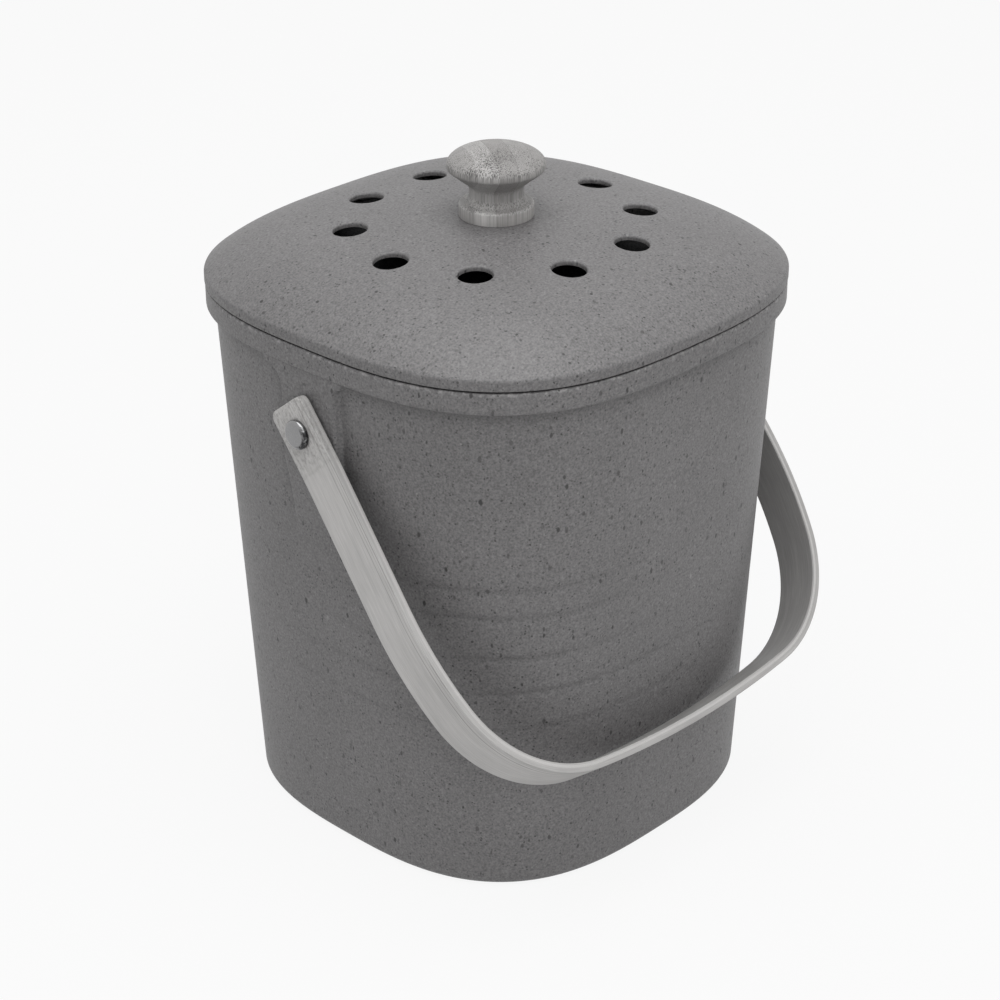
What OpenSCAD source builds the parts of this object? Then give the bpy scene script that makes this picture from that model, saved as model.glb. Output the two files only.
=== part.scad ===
// Countertop compost caddy: a tapered rounded-square bin, a lift-off vented lid with a
// turned knob, a charcoal filter held under the lid, and a bent strip handle on two rivets.
// Millimetres, +Z up, origin on the table under the middle of the bin.

/* [Body] */
// Full width of the lid across the flats
lid_w = 190; // [150:1:240]
// Height of the seam between bin and lid
seam_z = 204.5; // [160:0.5:260]
// How far the foot of the bin stands inside the lid edge, on each side
base_in = 12; // [6:0.1:18]
// How far the bin wall, carried up to the seam, stands inside the lid edge
wall_in = 2.75; // [1.6:0.1:4]
// Squareness of the plan shape, 2 is a circle
plan_n = 2.86; // [2.3:0.01:4]
// Thickness of the bin wall
wall = 2.8; // [2:0.1:4]
// Thickness of the bin floor
floor_t = 3.6; // [2.4:0.1:6]
// Radius of the lower outside edge
base_r = 4; // [3:0.5:10]
// Radius between floor and wall inside the bin
inner_r = 9; // [4:0.5:14]
// Hollow in the underside above the table
foot_rise = 1.2; // [0.6:0.1:2.4]
// Width of the ring the bin stands on
foot_w = 7; // [4:0.5:12]

/* [Rim band] */
// How far the rim band stands inside the lid edge
band_in = 0.2; // [0:0.05:1]
// Height of the straight part of the rim band
band_h = 7.4; // [5:0.1:14]
// Rounding of the lower edge of the band
band_edge_r = 1.1; // [0.5:0.1:2]
// Height of the hollow fillet under the band
band_r = 3.4; // [1.5:0.1:5]
// Rounding of the rim edges
rim_r = 0.8; // [0.4:0.1:1.4]

/* [Handle pads] */
// Width of the raised pad behind each handle end
pad_w = 27; // [22:0.5:36]
// Radius where the pad flares into the rim band
pad_flare = 7; // [3:0.5:12]
// How far the pad face stands inside the band face
pad_in = 0.9; // [0.6:0.1:1.6]
// How far the full pad reaches below the pivot
pad_low = 14; // [10:0.5:22]
// Length over which the pad fades into the wall
pad_fade = 30; // [15:1:45]

/* [Lid] */
// Gap left between lid and rim
seat_gap = 0.3; // [0.2:0.05:0.6]
// Height of the lid side face
lid_edge_h = 4.5; // [2.5:0.1:6]
// Rounding where the side face turns into the dome
lid_round = 1.1; // [0.5:0.1:2]
// Height of the shadow line round the lid edge
line_h = 0.8; // [0.7:0.05:1.2]
// Depth of the shadow line
line_w = 1.8; // [1:0.1:3]
// Rise of the rounded shoulder of the dome over the side face
shoulder_h = 11.3; // [7:0.1:17]
// How late the shoulder turns down, higher is squarer
shoulder_p = 6; // [3:0.1:9]
// Further rise of the shallow crown in the middle
crown_h = 6.9; // [3:0.1:11]
// Thickness of the lid shell
lid_t = 2.8; // [2:0.1:4]
// Depth of the skirt that drops inside the rim
plug_h = 9; // [6:0.5:14]
// Thickness of the skirt
plug_t = 2.4; // [1.8:0.1:3.5]
// Gap between skirt and rim
plug_gap = 1.2; // [0.8:0.1:2]

/* [Vents] */
// Number of air holes in the lid
vent_count = 10; // [6:1:14]
// Radius of the circle the holes stand on
vent_ring_r = 52.8; // [40:0.2:58]
// Diameter of each hole
vent_d = 12.4; // [8:0.1:14]
// Rounding of the hole mouth
vent_edge = 0.7; // [0.3:0.1:1.2]

/* [Knob] */
// Diameter of the knob cap
knob_d = 35.5; // [28:0.1:42]
// Diameter of the knob foot
knob_foot_d = 27; // [20:0.1:32]
// Height of the knob foot
knob_foot_h = 4.3; // [3:0.1:7]
// Diameter of the neck
knob_neck_d = 19; // [14:0.1:24]
// Height of the narrowest part of the neck
knob_neck_h = 8.2; // [6:0.1:10]
// Height of the widest part of the cap
knob_wide_h = 19; // [14:0.1:24]
// Full height of the knob
knob_h = 26.1; // [19:0.1:32]

/* [Knob fixing] */
// Outside diameter of the threaded insert
insert_d = 6.4; // [5:0.1:8]
// Length of the threaded insert
insert_h = 11; // [7:0.5:14]
// Diameter of the screw shank
screw_d = 4; // [3:0.1:5]
// Diameter of the screw head
screw_head_d = 8; // [6.5:0.1:10]
// Height of the screw head
screw_head_h = 2.6; // [2:0.1:4]
// Diameter of the washer under the screw head
washer_d = 12; // [10:0.5:16]
// Thickness of the washer
washer_t = 1; // [0.8:0.1:1.6]
// Radial play between parts that are screwed or pressed together
fix_play = 0.05; // [0.03:0.01:0.1]

/* [Filter] */
// Radius of the filter disc
filter_r = 64.6; // [60:0.2:70]
// Thickness of the filter disc
filter_t = 9.6; // [6:0.2:12]
// Thickness of the collar round the filter
tube_t = 2.2; // [1.6:0.1:3]
// Side play between filter and collar
filter_play = 0.8; // [0.4:0.1:1.5]
// Thickness of the filter cover plate
cover_t = 2; // [1.6:0.1:3]
// Height of the cover rim round the collar
cover_rim_h = 6; // [4:0.5:8]
// Thickness of the cover rim
cover_rim_t = 1.6; // [1.2:0.1:2.4]
// Side play between cover rim and collar
cover_play = 0.3; // [0.2:0.05:0.5]
// Drop of the collar foot below the seam
tube_drop = 2; // [0:0.5:4]
// Width of the air slots in the cover
slot_w = 7; // [4:0.5:9]
// Width of the spokes in the cover
spoke_w = 4; // [3:0.5:6]
// Number of spokes
spoke_count = 8; // [5:1:12]

/* [Handle] */
// Width of the handle strip
strip_w = 19.1; // [15:0.1:24]
// Thickness of the handle strip
strip_t = 3.4; // [2.6:0.1:4.5]
// Distance from the pivot to the middle of the strip at the bottom of the bend
handle_drop = 152.1; // [142:0.2:170]
// Half angle of the shallow bow at the bottom
bow_a = 6.54; // [4:0.02:10]
// Radius of the corner bends
corner_r = 50.3; // [35:0.1:60]
// Angle at which the corner bend passes into the leg
corner_a = 76.5; // [65:0.1:82]
// Radius of the long bend of the legs
leg_r = 153.6; // [110:0.2:220]
// Inward lean of the legs
lean_a = 1.61; // [0.5:0.01:3]
// Radius of the reverse bend near the pivot
toe_r = 400; // [200:5:800]
// Distance below the pivot where the flat end begins
flat_s = 11; // [9:0.5:20]
// Distance from the pivot to the end of the strip
end_s = 11.2; // [8:0.1:14]
// Corner radius of the strip ends
end_r = 3.2; // [2:0.1:8]
// Gap between the resting handle and the bin wall
rest_gap = 0.3; // [0.2:0.05:1]

/* [Pivots] */
// Drop of the handle pivots below the seam
pivot_drop = 30.4; // [26:0.1:45]
// Diameter of the rivet shank
rivet_d = 3.7; // [3:0.1:6]
// Diameter of the rivet head
rivet_head_d = 10.8; // [8:0.1:13]
// Height of the rivet head
rivet_head_h = 2.3; // [1.4:0.1:3.5]
// Radial running play of the handle on the rivet
run_play = 0.08; // [0.03:0.01:0.1]
// Side play of the handle on the rivet
side_play = 0.15; // [0.1:0.05:0.3]
// Thickness of the spacer between pad and handle
spacer_t = 0.9; // [0.6:0.1:1.6]
// Diameter of the spacer
spacer_d = 14; // [10:0.5:17]
// Diameter of the washer inside the bin
inner_washer_d = 13; // [10:0.5:16]
// Diameter of the clench cap inside the bin
clench_d = 8.6; // [7:0.1:11]
// Height of the clench cap
clench_h = 2.6; // [2:0.1:4]

/* [Drawing] */
// Points round the plan shape
ring_n = 80; // [48:4:120]

/* [Hidden] */

$fn = 64;
lid_a = lid_w / 2;
base_a = lid_a - base_in;
top_a = lid_a - wall_in;
taper = (top_a - base_a) / seam_z;
pivot_z = seam_z - pivot_drop;
band_a = lid_a - band_in;
band_z = seam_z - band_h;
pad_x = band_a - pad_in;
plug_a = top_a - wall - plug_gap;
fillet_z = band_z - band_edge_r - band_r;
dome_z0 = seam_z + lid_edge_h;
cap_f = 0.15;
knob_z = dome_z(cap_f * lid_a);
under_z = knob_z - lid_t;
tube_in = filter_r + filter_play;
tube_out = tube_in + tube_t;
tube_foot_z = seam_z - tube_drop;
tube_top_z = dome_z(tube_out) - lid_t - 0.15;
cover_top_z = tube_foot_z - 0.3;
cover_in = tube_out + cover_play;
cover_out = cover_in + cover_rim_t;
strip_in = pad_x + spacer_t + side_play;
strip_x = strip_in + strip_t / 2;
head_x = strip_in + strip_t + side_play;
seat_x = bin_a(pivot_z) - wall + 0.5;
inner_seat_r = inner_washer_d / 2 + 0.8;
clench_x = seat_x - washer_t;

// The bow radius follows from the room between the two pivots
leg_k = handle_drop - corner_r * cos(bow_a) + (corner_r - leg_r) * cos(corner_a)
  - leg_r * sin(lean_a) - flat_s - toe_r * sin(lean_a);
bow_r = (strip_x + corner_r * sin(bow_a) - (corner_r - leg_r) * sin(corner_a)
  - leg_r * cos(lean_a) + toe_r * (1 - cos(lean_a)) + tan(lean_a) * leg_k)
  / (sin(bow_a) + tan(lean_a) * (1 - cos(bow_a)));

// The handle rests where its back edge meets the sloping front wall
rest_s = handle_drop - strip_t / 2;
rest_u = rest_s + taper * strip_w / 2;
rest_v = taper * rest_s - strip_w / 2;
rest_a = asin((rest_gap + base_a + taper * pivot_z) / sqrt(rest_u * rest_u + rest_v * rest_v))
  - atan2(rest_v, rest_u);

function bin_a(z) = base_a + taper * z;
function dome_z(a) = dome_z0 + shoulder_h * (1 - pow(a / lid_a, shoulder_p))
  + crown_h * (1 - pow(a / lid_a, 2));
function plan_f(t) = pow(pow(abs(cos(t)), plan_n) + pow(abs(sin(t)), plan_n), -1 / plan_n);
function ring(a, z) = [for (i = [0 : ring_n - 1])
  let (t = 360 * (i + 0.5) / ring_n) [a * plan_f(t) * cos(t), a * plan_f(t) * sin(t), z]];

// Closed skin through a list of [half width, height] rings, capped at both ends
module skin(rings) {
  m = len(rings);
  pts = [for (r = rings) each ring(r[0], r[1])];
  sides = [for (j = [0 : m - 2]) for (i = [0 : ring_n - 1])
    let (k = (i + 1) % ring_n)
    [j * ring_n + i, (j + 1) * ring_n + i, (j + 1) * ring_n + k, j * ring_n + k]];
  first = [for (i = [0 : ring_n - 1]) i];
  last = [for (i = [0 : ring_n - 1]) m * ring_n - 1 - i];
  polyhedron(points = pts, faces = concat([first], sides, [last]), convexity = 6);
}

// Outside of the bin from the hollow underside up to the rim, then down to the floor
bin_rings = concat(
  [[base_a - base_r - foot_w - 2, foot_rise], [base_a - base_r - foot_w, 0]],
  [for (q = [0 : 15 : 90]) [bin_a(base_r) - base_r * (1 - sin(q)), base_r * (1 - cos(q))]],
  [[bin_a(fillet_z), fillet_z]],
  [for (q = [22.5 : 22.5 : 90])
    [bin_a(fillet_z) + (band_a - band_edge_r - bin_a(fillet_z)) * (1 - cos(q)),
     fillet_z + band_r * sin(q)]],
  [for (q = [30 : 30 : 90])
    [band_a - band_edge_r * (1 - sin(q)), band_z - band_edge_r * cos(q)]],
  [for (q = [0 : 30 : 90]) [band_a - rim_r * (1 - cos(q)), seam_z - rim_r * (1 - sin(q))]],
  [for (q = [90 : -30 : 0])
    [top_a - wall + rim_r * (1 - cos(q)), seam_z - rim_r * (1 - sin(q))]],
  [for (q = [0 : 15 : 90])
    [bin_a(floor_t + inner_r) - wall - inner_r * (1 - cos(q)),
     floor_t + inner_r * (1 - sin(q))]]
);

// Flat shape of one handle pad, in the plane of the side wall, flared at the top
module pad_shape() {
  top = band_z + 1;
  low = pivot_z - pad_low - pad_fade;
  difference() {
    translate([-pad_w / 2 - pad_flare, low]) square([pad_w + 2 * pad_flare, top - low]);
    for (s = [-1, 1]) {
      translate([s * (pad_w / 2 + pad_flare), fillet_z - pad_flare]) circle(r = pad_flare);
      translate([s * (pad_w / 2 + pad_flare) - pad_flare, low - 1])
        square([2 * pad_flare, fillet_z - pad_flare - low + 1]);
    }
  }
}

module pad(side) {
  low = pivot_z - pad_low - pad_fade;
  full = pivot_z - pad_low;
  top = band_z + 1;
  intersection() {
    rotate([90, 0, 90]) translate([0, 0, side > 0 ? 0 : -lid_a - 10])
      linear_extrude(lid_a + 10) pad_shape();
    translate([0, lid_a / 2, 0]) rotate([90, 0, 0]) linear_extrude(lid_a)
      polygon([[side * (bin_a(low) - 1.2), low], [side * (bin_a(low) - 0.5), low],
        [side * pad_x, full], [side * pad_x, top], [side * (bin_a(top) - 1.2), top]]);
  }
}

module bin_shell() {
  color([0.42, 0.43, 0.42]) difference() {
    union() {
      skin(bin_rings);
      pad(-1);
      pad(1);
    }
    for (side = [-1, 1]) {
      translate([side * lid_a, 0, pivot_z]) rotate([0, 90, 0])
        cylinder(d = rivet_d + 2 * fix_play, h = 30, center = true);
      translate([side * (seat_x - 5), 0, pivot_z]) rotate([0, 90, 0])
        cylinder(r = inner_seat_r, h = 10, center = true);
    }
  }
}

lid_rings = concat(
  [[cap_f * lid_a, knob_z - lid_t]],
  [for (f = [0.3, 0.45, 0.58, 0.68, 0.76, 0.83]) [f * lid_a, dome_z(f * lid_a) - lid_t]],
  [[plug_a - plug_t, dome_z(plug_a - plug_t) - lid_t]],
  [[plug_a - plug_t, seam_z - plug_h + 0.5], [plug_a - plug_t + 0.5, seam_z - plug_h]],
  [[plug_a - 1, seam_z - plug_h], [plug_a, seam_z - plug_h + 1.4]],
  [[plug_a, seam_z + seat_gap], [lid_a - line_w, seam_z + seat_gap]],
  [[lid_a - line_w, seam_z + line_h], [lid_a - rim_r, seam_z + line_h]],
  [[lid_a - rim_r * 0.3, seam_z + line_h + rim_r * 0.3], [lid_a, seam_z + line_h + rim_r]],
  [[lid_a, dome_z0 - lid_round], [lid_a - 0.12 * lid_round, dome_z0 - 0.42 * lid_round]],
  [[lid_a - 0.42 * lid_round, dome_z0 + 0.08 * lid_round]],
  [for (f = [0.985, 0.965, 0.935, 0.9, 0.85, 0.79, 0.72, 0.64, 0.55, 0.44, 0.3])
    [f * lid_a, dome_z(f * lid_a)]],
  [[cap_f * lid_a, knob_z]]
);

module lid_shell() {
  color([0.5, 0.51, 0.5]) difference() {
    skin(lid_rings);
    translate([0, 0, under_z - 5]) cylinder(d = screw_d + 0.6, h = lid_t + 10);
    for (i = [0 : vent_count - 1]) rotate(360 * i / vent_count) translate([vent_ring_r, 0, 0]) {
      translate([0, 0, under_z - 6]) cylinder(d = vent_d, h = lid_t + 14);
      translate([0, 0, dome_z(vent_ring_r) - vent_edge])
        cylinder(d1 = vent_d, d2 = vent_d + 4 * vent_edge + 2, h = 2 * vent_edge + 1);
    }
  }
}

// Ring under the lid that the filter cover grips
module filter_collar() {
  color([0.5, 0.51, 0.5]) translate([0, 0, tube_foot_z]) difference() {
    cylinder(r = tube_out, h = tube_top_z - tube_foot_z, $fn = 128);
    translate([0, 0, -1]) cylinder(r = tube_in, h = tube_top_z - tube_foot_z + 2, $fn = 128);
  }
}

// Turned outline of the knob: foot, hollow neck, wide cap with a low dome
knob_pts = concat(
  [[0, 0], [knob_foot_d / 2 - 0.5, 0], [knob_foot_d / 2, 0.5]],
  [for (q = [0 : 22.5 : 90])
    [knob_foot_d / 2 - 1.2 * (1 - cos(q)), knob_foot_h - 1.2 * (1 - sin(q))]],
  [for (q = [20 : 17.5 : 90])
    [knob_neck_d / 2 + (knob_foot_d / 2 - 1.6 - knob_neck_d / 2) * (1 - sin(q)),
     knob_neck_h - (knob_neck_h - knob_foot_h) * cos(q)]],
  [for (q = [15 : 15 : 75])
    [knob_neck_d / 2 + (knob_d / 2 - 1.6 - knob_neck_d / 2) * (1 - cos(q)),
     knob_neck_h + (knob_wide_h - 1.8 - knob_neck_h) * sin(q)]],
  [for (q = [-60 : 20 : 60]) [knob_d / 2 - 1.9 * (1 - cos(q)), knob_wide_h + 1.9 * sin(q)]],
  [for (q = [25 : 13 : 90])
    [(knob_d / 2 - 1.4) * cos(q), knob_wide_h + (knob_h - knob_wide_h) * sin(q)]],
  [[0, knob_h]]
);

module knob() {
  color([0.82, 0.72, 0.55]) translate([0, 0, knob_z]) difference() {
    rotate_extrude($fn = 96) polygon(knob_pts);
    translate([0, 0, -1]) cylinder(d = insert_d + 2 * fix_play, h = insert_h + 2);
  }
}

module knob_insert() {
  color([0.78, 0.62, 0.3]) translate([0, 0, knob_z + 0.4]) difference() {
    cylinder(d = insert_d, h = insert_h);
    translate([0, 0, -1]) cylinder(d = screw_d + 2 * fix_play, h = insert_h - 0.5);
    for (z = [2.6 : 2.8 : insert_h - 2]) translate([0, 0, z]) difference() {
      cylinder(d = insert_d + 1, h = 0.7);
      translate([0, 0, -1]) cylinder(d = insert_d - 0.6, h = 3);
    }
  }
}

module knob_screw() {
  color([0.75, 0.75, 0.77]) translate([0, 0, under_z - washer_t]) difference() {
    union() {
      cylinder(d = screw_d, h = washer_t + lid_t + insert_h - 2.4);
      translate([0, 0, -screw_head_h]) cylinder(d = screw_head_d, h = screw_head_h);
    }
    translate([0, 0, -screw_head_h - 1]) {
      translate([-0.55, -screw_head_d / 2 + 1.4, 0]) cube([1.1, screw_head_d - 2.8, 2.4]);
      translate([-screw_head_d / 2 + 1.4, -0.55, 0]) cube([screw_head_d - 2.8, 1.1, 2.4]);
    }
  }
}

module knob_washer() {
  color([0.7, 0.7, 0.72]) translate([0, 0, under_z - washer_t]) difference() {
    cylinder(d = washer_d, h = washer_t);
    translate([0, 0, -1]) cylinder(d = screw_d + 2 * fix_play, h = washer_t + 2);
  }
}

module carbon_filter() {
  color([0.13, 0.13, 0.14]) translate([0, 0, cover_top_z])
    cylinder(r = filter_r, h = filter_t, $fn = 128);
}

module filter_cover() {
  hub_r = 10;
  pitch = (filter_r - hub_r) / 5;
  color([0.3, 0.31, 0.3]) translate([0, 0, cover_top_z - cover_t]) union() {
    linear_extrude(cover_t) {
      difference() {
        circle(r = cover_out, $fn = 128);
        for (i = [0 : 4]) difference() {
          circle(r = hub_r + pitch * i + slot_w, $fn = 96);
          circle(r = hub_r + pitch * i, $fn = 96);
        }
      }
      for (i = [0 : spoke_count - 1]) rotate(360 * i / spoke_count)
        translate([hub_r - 1, -spoke_w / 2]) square([filter_r - hub_r, spoke_w]);
    }
    difference() {
      cylinder(r = cover_out, h = cover_t + cover_rim_h, $fn = 128);
      translate([0, 0, -1]) cylinder(r = cover_in, h = cover_t + cover_rim_h + 2, $fn = 128);
    }
  }
}

// Half of the strip outline at offset o from the middle line, from the bottom up to the end
function strip_half(o) = let (
    c0 = [0, handle_drop - bow_r],
    c1 = c0 + (bow_r - corner_r) * [sin(bow_a), cos(bow_a)],
    c2 = c1 + (corner_r - leg_r) * [sin(corner_a), cos(corner_a)],
    e2 = 90 + lean_a,
    c3 = [strip_x + toe_r, flat_s]
  ) concat(
    [for (q = [0.5 : 0.5 : 2.5]) c0 + (bow_r + o) * [sin(bow_a * q / 3), cos(bow_a * q / 3)]],
    [for (q = [0 : 20]) let (a = bow_a + (corner_a - bow_a) * q / 20)
      c1 + (corner_r + o) * [sin(a), cos(a)]],
    [for (q = [1 : 8]) let (a = corner_a + (e2 - corner_a) * q / 8)
      c2 + (leg_r + o) * [sin(a), cos(a)]],
    [for (q = [0 : 2]) let (a = lean_a * (1 - q / 2))
      c3 + (toe_r - o) * [-cos(a), sin(a)]],
    [[strip_x + o, -end_s]]
  );

module handle() {
  outer = strip_half(strip_t / 2);
  inner = strip_half(-strip_t / 2);
  m = len(outer);
  right = [for (p = outer) [p[0], -p[1]]];
  right_in = [for (i = [m - 1 : -1 : 0]) [inner[i][0], -inner[i][1]]];
  left_in = [for (p = inner) [-p[0], -p[1]]];
  left = [for (i = [m - 1 : -1 : 0]) [-outer[i][0], -outer[i][1]]];
  color([0.83, 0.74, 0.58]) translate([0, 0, pivot_z]) rotate([-rest_a, 0, 0]) difference() {
    rotate([90, 0, 0]) linear_extrude(strip_w, center = true)
      polygon(concat(right, right_in, left_in, left));
    rotate([0, 90, 0]) cylinder(d = rivet_d + 2 * run_play, h = 3 * lid_a, center = true);
    for (s = [-1, 1]) translate([0, s * (strip_w / 2 - end_r), end_s - end_r])
      rotate([0, 90, 0]) difference() {
        translate([-end_r - 2, s > 0 ? 0 : -end_r - 2, -1.5 * lid_a])
          cube([end_r + 2, end_r + 2, 3 * lid_a]);
        cylinder(r = end_r, h = 3 * lid_a + 2, center = true);
      }
  }
}

// Everything on one pivot is drawn along +X and mirrored for the left side
module on_side(side) {
  mirror([side < 0 ? 1 : 0, 0, 0]) translate([0, 0, pivot_z]) rotate([0, 90, 0]) children();
}

module rivet() {
  shank_x = clench_x - clench_h + 1;
  r = (rivet_head_d * rivet_head_d / 4 + rivet_head_h * rivet_head_h) / (2 * rivet_head_h);
  union() {
    translate([0, 0, shank_x]) cylinder(d = rivet_d, h = head_x + 1 - shank_x);
    translate([0, 0, head_x]) rotate_extrude($fn = 72) polygon(concat([[0, 0]],
      [[rivet_head_d / 2 - 0.3, 0]],
      [for (q = [6 : -1 : 0]) let (a = q / 6 * asin((rivet_head_d / 2 - 0.05) / r))
        [r * sin(a), rivet_head_h - r + r * cos(a)]]));
  }
}

module rivet_left() { color([0.78, 0.78, 0.8]) on_side(-1) rivet(); }
module rivet_right() { color([0.78, 0.78, 0.8]) on_side(1) rivet(); }

module spacer() {
  translate([0, 0, pad_x]) difference() {
    cylinder(d = spacer_d, h = spacer_t);
    translate([0, 0, -1]) cylinder(d = rivet_d + 2 * fix_play, h = spacer_t + 2);
  }
}

module spacer_left() { color([0.2, 0.2, 0.2]) on_side(-1) spacer(); }
module spacer_right() { color([0.2, 0.2, 0.2]) on_side(1) spacer(); }

module inner_washer() {
  translate([0, 0, seat_x - washer_t]) difference() {
    cylinder(d = inner_washer_d, h = washer_t);
    translate([0, 0, -1]) cylinder(d = rivet_d + 2 * fix_play, h = washer_t + 2);
  }
}

module inner_washer_left() { color([0.7, 0.7, 0.72]) on_side(-1) inner_washer(); }
module inner_washer_right() { color([0.7, 0.7, 0.72]) on_side(1) inner_washer(); }

module clench_cap() {
  difference() {
    translate([0, 0, clench_x - clench_h]) union() {
      translate([0, 0, 0.8]) cylinder(d = clench_d, h = clench_h - 0.8);
      cylinder(d1 = clench_d - 1.6, d2 = clench_d, h = 0.8);
    }
    translate([0, 0, clench_x - clench_h + 0.9]) cylinder(d = rivet_d + 2 * fix_play, h = clench_h);
  }
}

module clench_cap_left() { color([0.78, 0.78, 0.8]) on_side(-1) clench_cap(); }
module clench_cap_right() { color([0.78, 0.78, 0.8]) on_side(1) clench_cap(); }

bin_shell();
lid_shell();
knob();
knob_insert();
knob_screw();
knob_washer();
filter_collar();
carbon_filter();
filter_cover();
handle();
rivet_left();
rivet_right();
spacer_left();
spacer_right();
inner_washer_left();
inner_washer_right();
clench_cap_left();
clench_cap_right();
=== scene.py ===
import bpy
import bmesh
from math import asin, atan, atan2, copysign, cos, degrees, exp, hypot, pi, radians, sin, sqrt, tan
from mathutils import Matrix, Vector


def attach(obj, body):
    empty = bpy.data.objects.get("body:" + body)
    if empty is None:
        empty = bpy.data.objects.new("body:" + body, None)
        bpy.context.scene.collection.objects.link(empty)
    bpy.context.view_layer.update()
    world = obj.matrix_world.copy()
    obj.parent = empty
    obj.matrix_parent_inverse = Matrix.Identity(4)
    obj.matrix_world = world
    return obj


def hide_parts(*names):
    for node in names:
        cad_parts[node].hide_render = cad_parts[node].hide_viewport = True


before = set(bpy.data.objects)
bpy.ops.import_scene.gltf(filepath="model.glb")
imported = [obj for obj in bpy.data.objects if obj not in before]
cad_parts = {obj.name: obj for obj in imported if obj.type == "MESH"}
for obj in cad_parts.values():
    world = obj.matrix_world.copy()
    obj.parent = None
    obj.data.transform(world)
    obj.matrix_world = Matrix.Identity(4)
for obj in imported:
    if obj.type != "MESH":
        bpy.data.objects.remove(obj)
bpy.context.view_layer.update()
scene = bpy.context.scene
print("frame loaded")

# Plan shape shared by the bin and the lid, in metres
plan = {
    "power": 2.86,  # squareness, 2 is round
    "seam": 0.2045,
    "baseHalf": 0.083,
    "topHalf": 0.09225,  # wall line carried up to the seam
    "wall": 0.0028,
}
seam = plan["seam"]


def planFactor(angle):
    c = abs(cos(angle)) ** plan["power"]
    s = abs(sin(angle)) ** plan["power"]
    return (c + s) ** (-1 / plan["power"])


def planLevel(x, y):
    return (abs(x) ** plan["power"] + abs(y) ** plan["power"]) ** (1 / plan["power"])


def wallHalf(z):
    return plan["baseHalf"] + (plan["topHalf"] - plan["baseHalf"]) * z / seam


def smoothStep(low, high, value):
    t = min(1.0, max(0.0, (value - low) / (high - low)))
    return t * t * (3 - 2 * t)


def mix(a, b, t):
    return a + (b - a) * t


def bell(value, middle, width):
    return exp(-((value - middle) / width) ** 2)


def polar(radius, angle):
    return radius * cos(angle), radius * sin(angle)


def arc(x, z, radius, start, end, steps, high=None):  # points round (x, z), angles in degrees
    turns = [radians(mix(start, end, i / steps)) for i in range(steps + 1)]
    return [(x + radius * cos(a), z + (high or radius) * sin(a)) for a in turns]


def circle(radius, height, steps):
    return [(*polar(radius, 2 * pi * i / steps), height) for i in range(steps)]


weldReach = 2e-6


class MeshMaker:
    def __init__(self):
        self.points = []
        self.faces = []

    def grid(self, rows):  # closed rows of equal length, joined into quads
        start = len(self.points)
        width = len(rows[0])
        for row in rows:
            self.points.extend(row)
        for j in range(len(rows) - 1):
            for i in range(width):
                k = (i + 1) % width
                a = start + j * width
                b = a + width
                self.faces.append((a + i, a + k, b + k, b + i))

    def fan(self, row, centre, flip=False):  # closes a loop with a centre point
        start = len(self.points)
        self.points.extend(row)
        self.points.append(centre)
        hub = len(self.points) - 1
        for i in range(len(row)):
            k = (i + 1) % len(row)
            face = (start + i, start + k, hub)
            self.faces.append(face[::-1] if flip else face)

    def plain(self, name, material):
        mesh = bpy.data.meshes.new(name)
        mesh.from_pydata(self.points, [], self.faces)
        mesh.materials.append(material)
        obj = bpy.data.objects.new(name, mesh)
        scene.collection.objects.link(obj)
        return obj

    def build(self, name, material):  # welded and smooth
        obj = self.plain(name, material)
        work = bmesh.new()
        work.from_mesh(obj.data)
        bmesh.ops.remove_doubles(work, verts=work.verts, dist=weldReach)
        bmesh.ops.recalc_face_normals(work, faces=work.faces)
        work.to_mesh(obj.data)
        work.free()
        obj.data.shade_smooth()
        return obj


def revolve(maker, outline, steps=96):  # outline of (radius, height) pairs
    maker.grid([circle(radius, height, steps) for radius, height in outline])


def roundOutline(corners, steps=6):  # corners of (x, y, radius) become a smooth line of points
    result = []
    for index, (x, y, radius) in enumerate(corners):
        if radius <= 0 or index in (0, len(corners) - 1):
            result.append((x, y))
            continue
        here = Vector((x, y))
        back = (Vector(corners[index - 1][:2]) - here).normalized()
        ahead = (Vector(corners[index + 1][:2]) - here).normalized()
        half = back.angle(ahead) / 2
        if half > 1.56:
            result.append((x, y))
            continue
        reach = radius / tan(half)
        centre = here + (back + ahead).normalized() * radius / sin(half)
        first = here + back * reach - centre
        last = here + ahead * reach - centre
        start = degrees(atan2(first.y, first.x))
        end = degrees(atan2(last.y, last.x))
        turn = (end - start + 180) % 360 - 180
        result += arc(centre.x, centre.y, radius, start, start + turn, steps)
    return result


def markPaintedShade(obj, levelAt):  # painted shade, darkest where levelAt gives 1
    layer = obj.data.attributes.new("paintedShade", "FLOAT", "POINT")
    layer.data.foreach_set("value", [levelAt(v.co) for v in obj.data.vertices])


def newGroup(name, inputs, outputs):
    group = bpy.data.node_groups.new(name, "ShaderNodeTree")
    for label, kind, value in inputs:
        socket = group.interface.new_socket(name=label, in_out="INPUT", socket_type="NodeSocket" + kind)
        if value is not None:
            socket.default_value = value
    for label, kind in outputs:
        group.interface.new_socket(name=label, in_out="OUTPUT", socket_type="NodeSocket" + kind)
    return group


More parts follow.
